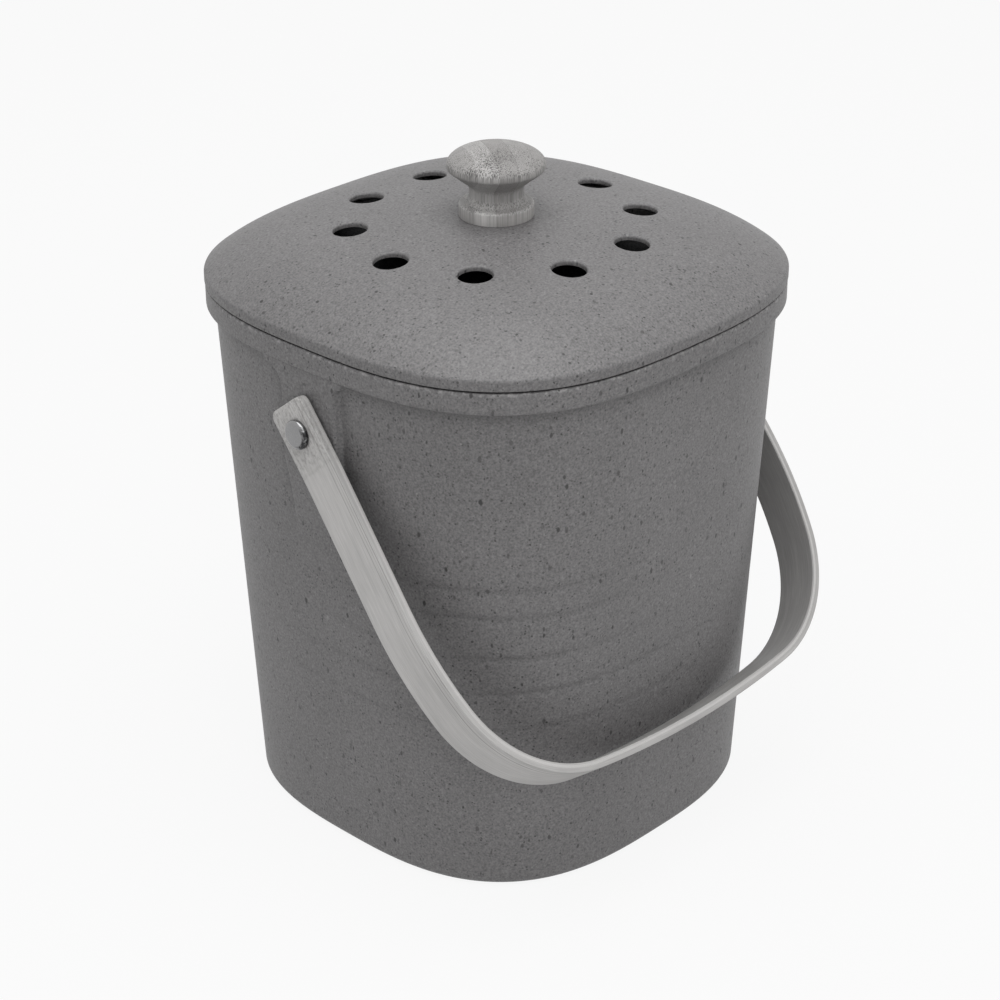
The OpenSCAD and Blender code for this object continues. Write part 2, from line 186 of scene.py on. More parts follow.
class NodeDesk:
    def __init__(self, tree):
        self.tree = tree
        self.column = 0

    def add(self, kind, settings=None, inputs=None):
        node = self.tree.nodes.new(kind)
        node.location = (self.column * 40, -(self.column % 7) * 160)
        self.column += 1
        for key, value in (settings or {}).items():
            setattr(node, key, value)
        for key, value in (inputs or {}).items():
            self.feed(node, key, value)
        return node

    def feed(self, node, key, value):
        socket = node.inputs[key]
        if isinstance(value, bpy.types.NodeSocket):
            self.tree.links.new(value, socket)
        else:
            socket.default_value = value

    def math(self, operation, a, b=0.0, clamp=False):
        node = self.add("ShaderNodeMath", {"operation": operation, "use_clamp": clamp})
        self.feed(node, 0, a)
        self.feed(node, 1, b)
        return node.outputs[0]

    def times(self, a, b):
        return self.math("MULTIPLY", a, b)

    def remap(self, value, low, high, newLow=0.0, newHigh=1.0, kind="SMOOTHSTEP"):
        node = self.add("ShaderNodeMapRange", {"interpolation_type": kind},
                        {0: value, 1: low, 2: high, 3: newLow, 4: newHigh})
        return node.outputs[0]

    def vary(self, value, low, high, newLow=0.0, newHigh=1.0):
        return self.remap(value, low, high, newLow, newHigh, "LINEAR")

    def blend(self, factor, a, b, mode="MIX"):
        node = self.add("ShaderNodeMix", {"data_type": "RGBA", "blend_type": mode},
                        {0: factor, 6: a, 7: b})
        return node.outputs[2]

    def place(self):
        return self.add("ShaderNodeTexCoord").outputs["Object"]

    def axes(self, vector):
        return self.add("ShaderNodeSeparateXYZ", None, {0: vector}).outputs

    def noise(self, vector, scale, detail, roughness):
        node = self.add("ShaderNodeTexNoise", None,
                        {"Vector": vector, "Scale": scale, "Detail": detail, "Roughness": roughness})
        return node.outputs["Fac"]

    def bump(self, strength, distance, height):
        node = self.add("ShaderNodeBump", None,
                        {"Strength": strength, "Distance": distance, "Height": height})
        return node.outputs[0]

    def tint(self, colour, level):  # colour times one grey level
        grey = self.add("ShaderNodeCombineColor", None, {0: level, 1: level, 2: level})
        return self.blend(1.0, colour, grey.outputs[0], "MULTIPLY")

    def flecks(self, vector, scale, share, size):
        node = self.add("ShaderNodeGroup", {"node_tree": fleckGroup},
                        {"Vector": vector, "Scale": scale, "Share": share, "Size": size})
        return node.outputs[0]

    def addScaled(self, value, factor, extra):
        node = self.add("ShaderNodeMath", {"operation": "MULTIPLY_ADD"}, {0: value, 1: factor, 2: extra})
        return node.outputs[0]

    def stretch(self, vector, scale, shift=(0, 0, 0), turn=(0, 0, 0)):
        node = self.add("ShaderNodeMapping", None,
                        {"Vector": vector, "Scale": scale, "Location": shift, "Rotation": turn})
        return node.outputs[0]

    def dress(self, node, colour, roughness, normal, sockets=("Base Color", "Roughness", "Normal")):
        for socket, value in zip(sockets, (colour, roughness, normal)):
            self.feed(node, socket, value)


lookSockets = [("Color", "Color"), ("Roughness", "Float"), ("Normal", "Vector")]


def buildFleckGroup():  # scattered specks: a share of the cells carries one speck each
    group = newGroup("speckScatter",
                     [("Vector", "Vector", None), ("Scale", "Float", 400.0),
                      ("Share", "Float", 0.2), ("Size", "Float", 0.3)],
                     [("Mask", "Float")])
    desk = NodeDesk(group)
    source = desk.add("NodeGroupInput").outputs
    cells = desk.add("ShaderNodeTexVoronoi", {"voronoi_dimensions": "3D", "feature": "F1"},
                     {"Vector": source["Vector"], "Scale": source["Scale"]})
    parts = desk.add("ShaderNodeSeparateColor", None, {0: cells.outputs["Color"]}).outputs
    keep = desk.math("LESS_THAN", parts[0], source["Share"])
    radius = desk.times(source["Size"], desk.addScaled(parts[1], 0.8, 0.45))
    soft = desk.vary(cells.outputs["Distance"], radius, desk.times(radius, 0.6))
    strength = desk.addScaled(parts[2], 0.7, 0.3)
    final = desk.math("MULTIPLY", desk.times(soft, keep), strength, clamp=True)
    desk.add("NodeGroupOutput", None, {0: final})
    return group


fleckGroup = buildFleckGroup()


def emptyMaterial(name):
    material = bpy.data.materials.new(name)
    material.use_nodes = True
    material.node_tree.nodes.clear()
    return material, NodeDesk(material.node_tree)


def newMaterial(name):
    material, desk = emptyMaterial(name)
    shader = desk.add("ShaderNodeBsdfPrincipled")
    desk.add("ShaderNodeOutputMaterial", None, {"Surface": shader.outputs[0]})
    return material, desk, shader


# Moulded plastic filled with plant fibre
fibrePlastic = {
    "colour": (0.128, 0.1245, 0.1255),
    "fleck": (0.022, 0.021, 0.021),
    "paleFleck": (0.30, 0.292, 0.29),
    "grain": 0.34,  # contrast of the fine grain
    "cloud": 0.05,  # contrast of the wide patches
    "fleckMix": 1.0,
    "paleMix": 0.45,
    "rubAndHighlightMix": 0.48,  # paler rubbing on worn edges, partly a painted highlight on the rim edge
    "bend": (0.0006, 0.0006, 0.0006),
    "roughness": 0.5,
}


def buildPlasticGroup():
    group = newGroup("fibrePlasticLook",
                     [("Vector", "Vector", None), ("Tint", "Float", 1.0),
                      ("WearAndHighlight", "Float", 0.0)], lookSockets)
    desk = NodeDesk(group)
    source = desk.add("NodeGroupInput").outputs
    place = source["Vector"]
    look = fibrePlastic
    fine = desk.noise(place, 1250.0, 1.0, 0.6)
    wide = desk.noise(place, 520.0, 1.0, 0.6)
    cloud = desk.noise(place, 26.0, 3.0, 0.55)
    level = desk.vary(fine, 0.25, 0.75, 1 - look["grain"], 1 + look["grain"])
    levelWide = desk.vary(wide, 0.25, 0.75, 1 - look["grain"] * 0.3, 1 + look["grain"] * 0.3)
    levelCloud = desk.vary(cloud, 0.3, 0.7, 1 - look["cloud"], 1 + look["cloud"])
    tone = desk.times(desk.times(level, levelWide), levelCloud)
    colour = desk.tint(look["colour"] + (1,), tone)
    # specks are bent out of round
    warp = desk.add("ShaderNodeTexNoise", None, {"Vector": place, "Scale": 900.0, "Detail": 1.0})
    crooked = desk.add("ShaderNodeVectorMath", {"operation": "MULTIPLY_ADD"},
                       {0: warp.outputs["Color"], 1: look["bend"], 2: place}).outputs[0]
    pale = desk.flecks(crooked, 700.0, 0.08, 0.26)
    palest = desk.flecks(desk.stretch(crooked, (1.0, 1.0, 0.45), (0.01, 0.02, 0.0), (0.6, 0.4, 0.2)),
                         260.0, 0.08, 0.15)
    paleMask = desk.times(desk.math("MAXIMUM", pale, palest), look["paleMix"])
    colour = desk.blend(paleMask, colour, look["paleFleck"] + (1,))
    # paler rubbing on the rim edge, partly a painted highlight
    rubAndHighlight = desk.times(desk.remap(wide, 0.50, 0.66, 0.0, look["rubAndHighlightMix"]), source["WearAndHighlight"])
    colour = desk.blend(rubAndHighlight, colour, look["paleFleck"] + (1,))
    small = desk.flecks(crooked, 900.0, 0.24, 0.42)
    middle = desk.flecks(desk.stretch(crooked, (1.0, 1.0, 0.55), (0.02, 0.0, 0.01), (0.3, 0.2, 0.4)),
                         400.0, 0.34, 0.27)
    large = desk.flecks(desk.stretch(crooked, (1.0, 0.6, 1.0), (0.0, 0.01, 0.0), (0.2, 0.5, 0.9)),
                        150.0, 0.32, 0.094)
    flecks = desk.math("MAXIMUM", desk.math("MAXIMUM", desk.times(small, 0.9), middle), large)
    colour = desk.blend(desk.times(flecks, look["fleckMix"]), colour, look["fleck"] + (1,))
    colour = desk.tint(colour, source["Tint"])
    roughness = desk.vary(wide, 0.2, 0.8, look["roughness"] - 0.05, look["roughness"] + 0.08)
    height = desk.math("SUBTRACT", desk.times(fine, 0.5), desk.times(flecks, 0.35))
    desk.dress(desk.add("NodeGroupOutput"), colour, roughness, desk.bump(0.35, 0.0002, height), range(3))
    return group


plasticGroup = buildPlasticGroup()


def makeFibrePlastic(name, tint=1.0, wearAndHighlightFrom=0.0, wearAndHighlightTo=0.0):
    material, desk, shader = newMaterial(name)
    place = desk.place()
    # the paintedShade attribute darkens the colour as painted shade in grooves and gaps
    paintedShade = desk.add("ShaderNodeAttribute", {"attribute_name": "paintedShade"}).outputs["Fac"]
    level = desk.times(desk.math("SUBTRACT", 1.0, paintedShade), tint)
    look = desk.add("ShaderNodeGroup", {"node_tree": plasticGroup}, {"Vector": place, "Tint": level})
    if wearAndHighlightTo > wearAndHighlightFrom:  # edges paler between two heights: rubbing, partly a painted highlight
        desk.feed(look, "WearAndHighlight", desk.remap(desk.axes(place)[2], wearAndHighlightFrom, wearAndHighlightTo))
    desk.dress(shader, *look.outputs)
    return material


# painted light: the bin's copy is lighter than the lid's to brighten the walls
binPlastic = makeFibrePlastic("fibrePlasticBin", 1.08, 0.2028, 0.2038)
lidPlastic = makeFibrePlastic("fibrePlasticLid", 1.03)
print("plastic made")

# Planed bamboo strip: u runs along the grain and v across it
stripBamboo = {
    "colour": (0.462, 0.453, 0.445),
    "vein": (0.16, 0.152, 0.146),
    "veinMix": 0.6,
    "outerShift": 0.03,  # v of the middle of the outer face
    "innerShift": 0.08,  # and of the face towards the bin
    "innerFrom": 0.055,
    "innerShade": (0.84, 0.60),  # painted shade on the face towards the bin, most on the right leg
    "legFrom": (0.25, 0.31),  # where the right leg begins
    # painted shade on the upper side
    "sideShade": 0.78,
    "sideTo": 0.0207,  # the upper side lies below this v
    "corner": 0.0209,
    "joint": 0.0270,  # distance of the cane joint from the end of the strip
    "jointMix": 0.5,
}


def stripTone(desk, place, fine):
    broad = desk.noise(desk.stretch(place, (7.0, 300.0, 1.0)), 1.0, 3.0, 0.55)
    hair = desk.noise(desk.stretch(place, (110.0, 4600.0, 1.0), (3.0, 1.0, 0.0)), 1.0, 2.0, 0.6)
    cloud = desk.noise(desk.stretch(place, (30.0, 90.0, 1.0), (7.0, 2.0, 0.0)), 1.0, 3.0, 0.6)
    tone = desk.vary(broad, 0.3, 0.7, 0.93, 1.06)
    for value, depth in ((fine, 0.11), (hair, 0.12), (cloud, 0.09)):
        tone = desk.times(tone, desk.vary(value, 0.28, 0.72, 1 - depth, 1 + depth))
    along, across = desk.axes(place)[:2]
    # painted shade on the face towards the bin, deeper on the right leg
    innerShadeLevel = desk.remap(along, *stripBamboo["legFrom"], *stripBamboo["innerShade"])
    innerFrom = stripBamboo["innerFrom"]
    tone = desk.times(tone, desk.remap(across, innerFrom - 0.003, innerFrom + 0.003, 1.0, innerShadeLevel))
    # painted shade on the upper side
    sideTo = stripBamboo["sideTo"]
    return desk.times(tone, desk.remap(across, sideTo - 0.0003, sideTo, stripBamboo["sideShade"], 1.0))


def stripLines(desk, place, across):  # a few long dark lines, most near the upper side
    longLines = desk.noise(desk.stretch(place, (3.2, 1250.0, 1.0), (1.7, 4.0, 0.0)), 1.0, 2.0, 0.5)
    upper = desk.remap(across, 0.0285, 0.0240, 0.12, 1.0)
    upper = desk.times(upper, desk.remap(across, 0.0203, 0.0208, 0.15, 1.0))
    lines = desk.times(desk.remap(longLines, 0.53, 0.66), upper)
    # dark line along the upper corner: partly lifted fibres, partly painted shade over the lit edge
    corner = desk.math("ABSOLUTE", desk.math("SUBTRACT", across, stripBamboo["corner"]))
    cornerBreakup = desk.noise(desk.stretch(place, (26.0, 160.0, 1.0), (4.0, 2.0, 0.0)), 1.0, 3.0, 0.6)
    cornerSplitAndShade = desk.times(desk.remap(corner, 0.0004, 0.0001), desk.remap(cornerBreakup, 0.47, 0.58))
    return desk.math("MAXIMUM", lines, desk.times(cornerSplitAndShade, 0.9))


def caneJoint(desk, place, along):  # crosses one leg just below its rivet
    waver = desk.noise(desk.stretch(place, (60.0, 190.0, 1.0)), 1.0, 3.0, 0.6)
    bent = desk.addScaled(waver, 0.005, along)
    near = desk.math("ABSOLUTE", desk.math("SUBTRACT", bent, stripBamboo["joint"]))
    ring = desk.times(desk.remap(near, 0.0012, 0.0002), 0.45)
    above = desk.remap(bent, stripBamboo["joint"] + 0.0005, stripBamboo["joint"] - 0.004)
    rough = desk.noise(desk.stretch(place, (520.0, 900.0, 1.0)), 1.0, 3.0, 0.7)
    pitted = desk.times(above, desk.remap(rough, 0.42, 0.66))
    return desk.math("MAXIMUM", pitted, desk.times(ring, desk.remap(rough, 0.3, 0.6)))


def makeStripBamboo():
    material, desk, shader = newMaterial("stripBamboo")
    place = desk.add("ShaderNodeUVMap", {"uv_map": "grain"}).outputs[0]
    along, across = desk.axes(place)[:2]
    fine = desk.noise(desk.stretch(place, (34.0, 1700.0, 1.0)), 1.0, 3.0, 0.6)
    colour = desk.tint(stripBamboo["colour"] + (1,), stripTone(desk, place, fine))
    vein = stripBamboo["vein"] + (1,)
    lines = stripLines(desk, place, across)
    colour = desk.blend(desk.times(lines, stripBamboo["veinMix"]), colour, vein)
    marks = caneJoint(desk, place, along)
    colour = desk.blend(desk.times(marks, stripBamboo["jointMix"]), colour, vein)
    height = desk.math("SUBTRACT", desk.times(fine, 0.5), desk.times(lines, 0.5))
    height = desk.math("SUBTRACT", height, desk.times(marks, 0.4))
    desk.dress(shader, colour, desk.vary(fine, 0.3, 0.7, 0.5, 0.66), desk.bump(0.3, 0.0002, height))
    return material


# Turned bamboo block with upright fibres, glued from flat strips
knobBamboo = {
    "pale": (0.358, 0.350, 0.343),
    "deep": (0.238, 0.231, 0.225),
    "dot": (0.022, 0.020, 0.019),
    "dotMix": 0.9,
    "dotLayers": ((1400.0, 0.0), (2050.0, 0.013)),  # dots per metre and shift
    "endDim": 0.95,  # end grain on the crown against the side grain
    # painted light on the foot below the cap
    "footPaintedLight": 1.25,
    "footTop": 0.2330,
    "stripWide": 0.0071,
    "stripShift": 0.02476,
    "stripTurn": 0.537,
    "tones": (0.45, 0.5, 1.0, 0.12, 0.42, 0.3),  # one for each glued strip
    "seamMix": 0.35,
}


def knobStrips(desk, across):  # tone of each glued strip, and a mask of the glue lines
    tones = knobBamboo["tones"]
    moved = desk.math("ADD", across, knobBamboo["stripShift"])
    strip = desk.math("DIVIDE", moved, knobBamboo["stripWide"])
    middle = desk.math("ADD", desk.math("FLOOR", strip), 0.5)
    pick = desk.add("ShaderNodeValToRGB", None, {0: desk.math("DIVIDE", middle, len(tones))})
    pick.color_ramp.interpolation = "CONSTANT"
    stops = pick.color_ramp.elements
    for number, tone in enumerate(tones):
        stop = stops[number] if number < len(stops) else stops.new(number / len(tones))
        stop.position = number / len(tones)
        stop.color = (tone, tone, tone, 1)
    inside = desk.math("SUBTRACT", desk.math("FRACT", strip), 0.5)
    return pick.outputs["Color"], desk.remap(desk.math("ABSOLUTE", inside), 0.48, 0.498)


def knobDots(desk, turned, axes, upward):
    # fibre ends show as dots on the crown and as upright streaks on the sides
    crowd = desk.noise(desk.stretch(turned, (130.0, 130.0, 90.0), (0.4, 0.1, 0.0)), 1.0, 2.0, 0.6)
    crowd = desk.vary(crowd, 0.35, 0.62, 0.5, 1.15)
    crowd = desk.times(crowd, desk.remap(axes[1], 0.002, -0.010, 0.7, 1.35))
    crowd = desk.times(crowd, desk.remap(axes[0], 0.004, -0.006, 0.92, 1.15))
    total = None
    for spacing, shift in knobBamboo["dotLayers"]:
        vector = desk.stretch(turned, (spacing, spacing, 1.0), (shift, shift, 0.0))
        dots = desk.add("ShaderNodeTexVoronoi", {"voronoi_dimensions": "2D", "feature": "F1"},
                        {"Vector": vector, "Scale": 1.0})
        parts = desk.add("ShaderNodeSeparateColor", None, {0: dots.outputs["Color"]}).outputs
        size = desk.times(desk.addScaled(parts[0], 0.26, 0.20), crowd)
        mask = desk.remap(dots.outputs["Distance"], size, desk.times(size, 0.5))
        mask = desk.times(mask, desk.addScaled(parts[1], 0.7, 0.3))
        total = mask if total is None else desk.math("MAXIMUM", total, mask)
    total = desk.times(total, desk.remap(upward, -0.35, 0.55, 0.3, 1.0))
    high = knobBamboo["footTop"]
    return desk.times(total, desk.remap(axes[2], high + 0.006, high + 0.002, 1.0, 0.7))


def makeKnobBamboo():
    material, desk, shader = newMaterial("knobBamboo")
    turned = desk.stretch(desk.place(), (1, 1, 1), turn=(0.0, 0.0, knobBamboo["stripTurn"]))
    axes = desk.axes(turned)
    upward = desk.axes(desk.add("ShaderNodeTexCoord").outputs["Normal"])[2]
    tones, glue = knobStrips(desk, axes[0])
    colour = desk.blend(tones, knobBamboo["deep"] + (1,), knobBamboo["pale"] + (1,))
    level = desk.math("ABSOLUTE", upward)
    colour = desk.tint(colour, desk.remap(level, 0.45, 0.9, 1.0, knobBamboo["endDim"]))
    high = knobBamboo["footTop"]
    # painted light: the foot is lit brighter below the cap
    low = desk.remap(axes[2], high + 0.0015, high - 0.0015, 1.0, knobBamboo["footPaintedLight"])
    colour = desk.tint(colour, low)
    slow = desk.noise(desk.stretch(turned, (170.0, 170.0, 14.0)), 1.0, 3.0, 0.6)
    colour = desk.tint(colour, desk.vary(slow, 0.3, 0.7, 0.84, 1.14))
    dots = knobDots(desk, turned, axes, upward)
    dark = knobBamboo["dot"] + (1,)
    colour = desk.blend(desk.times(dots, knobBamboo["dotMix"]), colour, dark)
    colour = desk.blend(desk.times(glue, knobBamboo["seamMix"]), colour, dark)
    bump = desk.bump(0.3, 0.0001, desk.times(dots, -1.0))
    desk.dress(shader, colour, desk.vary(slow, 0.3, 0.7, 0.5, 0.64), bump)
    return material


def buildMetalGroup():
    group = newGroup("wornMetalLook",
                     [("Vector", "Vector", None), ("Color", "Color", (0.6, 0.6, 0.6, 1)),
                      ("Roughness", "Float", 0.3), ("Brushed", "Float", 0.1)],
                     lookSockets)
    desk = NodeDesk(group)
    source = desk.add("NodeGroupInput").outputs
    smear = desk.noise(source["Vector"], 700.0, 4.0, 0.6)
    scratch = desk.noise(desk.stretch(source["Vector"], (300.0, 2600.0, 2600.0)), 1.0, 3.0, 0.6)
    tone = desk.tint(source["Color"], desk.remap(smear, 0.3, 0.7, 0.92, 1.0))
    wear = desk.times(source["Roughness"], desk.vary(smear, 0.25, 0.75, 0.8, 1.25))
    bump = desk.bump(source["Brushed"], 0.00005, scratch)
    desk.dress(desk.add("NodeGroupOutput"), tone, wear, bump, range(3))
    return group


metalGroup = buildMetalGroup()

padShape = {
    "half": 0.0135,
    "flare": 0.0085,  # radius of the corner with the band, rear side
    "flareFront": 0.0032,
    "face": 0.0939,
    "pivot": 0.1741,
    "low": 0.014,
    "fade": 0.030,
    "soft": 0.0006,
    "seatRadius": 0.0073,
    "seatFace": 0.08857,
}


def darkReflectionRing(desk, place):  # painted dark reflection on the shoulder of a rivet, strongest on one side
    axes = desk.axes(place)
    high = desk.math("SUBTRACT", axes[2], padShape["pivot"])
    far = desk.math("SQRT", desk.addScaled(high, high, desk.times(axes[1], axes[1])))
    ring = desk.remap(far, 0.0036, 0.0043)
    lean = desk.addScaled(high, -0.3, desk.times(axes[1], -0.95))
    side = desk.remap(desk.math("DIVIDE", lean, far), 0.2, 0.8)
    patch = desk.remap(desk.noise(place, 900.0, 3.0, 0.6), 0.36, 0.55, 0.25, 1.0)
    return desk.times(desk.times(ring, side), patch)


def makeMetal(name, colour, roughness, brushed, paintedReflection=False):
    material, desk, shader = newMaterial(name)
    place = desk.place()
    look = desk.add("ShaderNodeGroup", {"node_tree": metalGroup},
                    {"Vector": place, "Color": colour + (1,), "Roughness": roughness, "Brushed": brushed})
    shader.inputs["Metallic"].default_value = 1.0
    tone, wear, normal = look.outputs
    # painted dark reflection on the rivet shoulder
    if paintedReflection:
        darkReflection = desk.times(darkReflectionRing(desk, place), 0.9)
        tone = desk.blend(darkReflection, tone, (0.012, 0.012, 0.013, 1))
    desk.dress(shader, tone, wear, normal)
    return material


def makeFelt():
    material, desk, shader = newMaterial("carbonFelt")
    place = desk.place()
    fuzz = desk.noise(place, 1300.0, 5.0, 0.75)
    cells = desk.add("ShaderNodeTexVoronoi", None, {"Vector": place, "Scale": 420.0})
    colour = desk.blend(desk.remap(fuzz, 0.3, 0.75), (0.008, 0.008, 0.0085, 1), (0.03, 0.03, 0.031, 1))
    height = desk.math("ADD", fuzz, desk.times(cells.outputs["Distance"], 0.6))
    desk.dress(shader, colour, desk.vary(fuzz, 0.2, 0.8, 0.82, 0.98), desk.bump(0.8, 0.0006, height))
    shader.inputs["Specular IOR Level"].default_value = 0.08
    return material


stripWood = makeStripBamboo()
knobWood = makeKnobBamboo()
polishedSteel = makeMetal("polishedSteel", (0.27, 0.27, 0.273), 0.2, 0.08)
rivetSteel = makeMetal("rivetSteel", (0.27, 0.27, 0.273), 0.2, 0.08, True)
zincSteel = makeMetal("zincSteel", (0.55, 0.55, 0.57), 0.36, 0.16)
brassMetal = makeMetal("turnedBrass", (0.70, 0.52, 0.24), 0.3, 0.16)
feltMaterial = makeFelt()
# the filter cover is darkened to near black as painted shade under the lid
coverShadePlastic = makeFibrePlastic("fibrePlasticCoverShade", 0.12)
spacerPlastic = makeFibrePlastic("spacerPlastic", 0.4)
print("materials made")

binShape = {
    "edge": 0.004,  # lower outside edge
    "footWide": 0.007,
    "footRise": 0.0012,
    "floor": 0.0036,
    "insideEdge": 0.009,
    "bandHalf": 0.0948,
    "bandTall": 0.0074,
    "bandEdge": 0.0007,
    "bandFillet": 0.0026,
    "rimRound": 0.0009,
    "padReach": 0.026,  # the pads lie within this y
    "padLow": 0.110,  # and above this height
}
sinkMarks = {  # faint level grooves left by the mould, deepest on one corner
    "heights": (0.0695, 0.0845, 0.0990, 0.1155, 0.1265),
    "depths": (0.00016, 0.00023, 0.00023, 0.00025, 0.00024),
    "reaches": (1.5, 1.4, 1.1, 0.8, 0.65),
    "spread": 0.0013,
    "turn": -2.38,
    "between": (0.05, 0.13),
}
paintedShadeLook = {  # how much painted shade darkens each groove
    "rim": 0.55,
    "pad": 0.24,
    "sink": 0.16,
    "sinkFull": 0.00024,
    "lidLine": 0.75,
    "frontShare": 0.6,  # less painted shade on the front side of each pad
}


def padHalf(y, z):  # half width of the pad, flared into the band
    flare = padShape["flare"] if y > 0 else padShape["flareFront"]
    foot = seam - binShape["bandTall"] - binShape["bandEdge"] - binShape["bandFillet"] - flare
    if z <= foot:
        return padShape["half"]
    rise = min(1.0, (z - foot) / flare)
    return padShape["half"] + flare * (1 - sqrt(max(0.0, 1 - rise * rise)))


def padMask(y, z):  # 1 on the raised pad, 0 off it
    half = padHalf(y, z)
    return 1 - smoothStep(half - padShape["soft"], half + padShape["soft"], abs(y))


def padFace(z):
    full = padShape["pivot"] - padShape["low"]
    if z >= full:
        return padShape["face"]
    t = (full - z) / padShape["fade"]
    return mix(padShape["face"], wallHalf(full - padShape["fade"]) - 0.0005, t)


def sinkDepth(angle, z):
    away = abs((angle - sinkMarks["turn"] + pi) % (2 * pi) - pi)
    total = 0.0
    for height, depth, reach in zip(sinkMarks["heights"], sinkMarks["depths"], sinkMarks["reaches"]):
        fade = 0.15 + 0.85 * (1 - smoothStep(0.25, reach, away))
        total += fade * depth * bell(z, height, sinkMarks["spread"])
    return total


def padPaintedShade(y, z, low):  # painted shade beside a pad, wide on the wall and narrow on the pad
    away = abs(y) - padHalf(y, z) - 0.0009
    if y < 0:
        spread, share = (0.0036 if away > 0 else 0.0018), paintedShadeLook["frontShare"]
    else:
        spread, share = (0.0040 if away > 0 else 0.0006), 1.0
    fade = smoothStep(0.118, 0.150, z) * (1 - smoothStep(low - 0.005, low, z))
    return bell(away, 0.0, spread) * fade * share


# painted shade on the rim under the lid, below the band, beside the pads and in the sink marks
def binPaintedShade(point):
    x, y, z = point
    if planLevel(x, y) < wallHalf(z) - 0.001:
        return 0.0
    if z > seam - 0.00005:
        return paintedShadeLook["rim"]
    low = seam - binShape["bandTall"] - binShape["bandEdge"]
    nearPad = abs(x) > 0.07
    band = bell(z, low - 0.0008, 0.0036 if z < low - 0.0008 else 0.0008)
    if nearPad:
        band = max(band * (1 - padMask(y, z)), padPaintedShade(y, z, low))
    marks = sinkDepth(atan2(y, x), z) / paintedShadeLook["sinkFull"] if 0.05 < z < 0.14 else 0.0
    return max(paintedShadeLook["pad"] * band, paintedShadeLook["sink"] * marks)


def lidPaintedShade(point):  # painted shade in the shadow line under the edge
    inLine = seam + 0.0001 < point.z < seam + lidShape["lineTall"] + 0.00005
    return paintedShadeLook["lidLine"] if inLine else 0.0


def binAngles():  # finer where the pads leave the wall
    near = [0.6 * i for i in range(10)] + [6 + 0.3 * i for i in range(34)]
    near += [16.2 + 1.23 * i for i in range(60)]
    mirrored = [0.0] + [90 - v for v in near[:0:-1]]
    return [radians(90 * quarter + v) for quarter in range(4)
            for v in (mirrored if quarter % 2 else near)]


def ladder(start, stages):  # heights from start, by each step until its stop
    z = start
    for stop, step in stages:
        while (stop - z) * step > 0:
            yield z
            z += step


def binOutside():  # (half width, height) pairs from the foot up to the rim
    half = binShape["bandHalf"]
    edge = binShape["edge"]
    bandEdge = binShape["bandEdge"]
    bandLow = seam - binShape["bandTall"]
    filletLow = bandLow - bandEdge - binShape["bandFillet"]
    rise = binShape["footRise"]
    footOut = plan["baseHalf"] - edge
    footIn = footOut - binShape["footWide"]
    points = [(footIn - 0.0026, rise), (footIn - 0.0020, rise - 0.0001)]
    points += [(footIn - 0.0004, 0.0002), (footIn, 0.0)]
    points += [(mix(footIn, footOut, t), 0.0) for t in (0.3, 0.7)]
    points += arc(wallHalf(edge) - edge, edge, edge, -90, 0, 12)
    stages = ((0.052, 0.004), (filletLow - 0.0003, 0.0008))
    points += [(wallHalf(z), z) for z in ladder(edge + 0.003, stages)]
    wide = half - bandEdge - wallHalf(filletLow)
    points += arc(half - bandEdge, filletLow, wide, 180, 90, 10, binShape["bandFillet"])
    points += arc(half - bandEdge, bandLow, bandEdge, -90, 0, 6)[1:]
    points += [(half, mix(bandLow, seam, t)) for t in (0.2, 0.4, 0.6, 0.8)]
    rim = binShape["rimRound"]
    return points + arc(half - rim, seam - rim, rim, 0, 90, 6)


def binInside():  # (half width, height) pairs from the rim down to the floor
    wall = plan["wall"]
    rim = binShape["rimRound"]
    bend = binShape["insideEdge"]
    low = binShape["floor"] + bend
    stages = ((0.183, -0.004), (0.164, -0.0006), (low + 0.002, -0.006))
    points = arc(plan["topHalf"] - wall + rim, seam - rim, rim, 90, 180, 6)
    points += [(wallHalf(z) - wall, z) for z in ladder(seam - 0.004, stages)]
    return points + arc(wallHalf(low) - wall - bend, low, bend, 0, -90, 10)


def outsidePoint(half, z, angle, factor):
    low, high = sinkMarks["between"]
    level = half - (sinkDepth(angle, z) if low < z < high else 0.0)
    x, y = polar(level * factor, angle)
    if abs(y) < binShape["padReach"] and binShape["padLow"] < z < seam - 0.003:
        x += copysign(padMask(y, z) * max(0.0, padFace(z) - abs(x)), x)
    return (x, y, z)


def insidePoint(half, z, angle, factor):  # with flat seats for the washers
    x, y = polar(half * factor, angle)
    away = hypot(y, z - padShape["pivot"]) - padShape["seatRadius"]
    if away < 0.0006 and abs(x) > 0.05:
        flat = 1 - smoothStep(-0.0003, 0.0003, away)
        x = copysign(mix(abs(x), padShape["seatFace"], flat), x)
    return (x, y, z)


def makeBin():
    plans = [(a, planFactor(a)) for a in binAngles()]
    rows = [[outsidePoint(half, z, a, f) for a, f in plans] for half, z in binOutside()]
    rows += [[insidePoint(half, z, a, f) for a, f in plans] for half, z in binInside()]
    maker = MeshMaker()
    maker.grid(rows)
    for row, height in ((rows[0], binShape["footRise"]), (rows[-1], binShape["floor"])):
        rings = [[(x * t, y * t, z) for x, y, z in row] for t in (1.0, 0.8, 0.55, 0.3)]
        maker.grid(rings)
        maker.fan(rings[-1], (0.0, 0.0, height))
    obj = maker.build("binSkin", binPlastic)
    markPaintedShade(obj, binPaintedShade)
    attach(obj, "bin")
    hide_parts("bin_shell")


makeBin()
print("bin made")

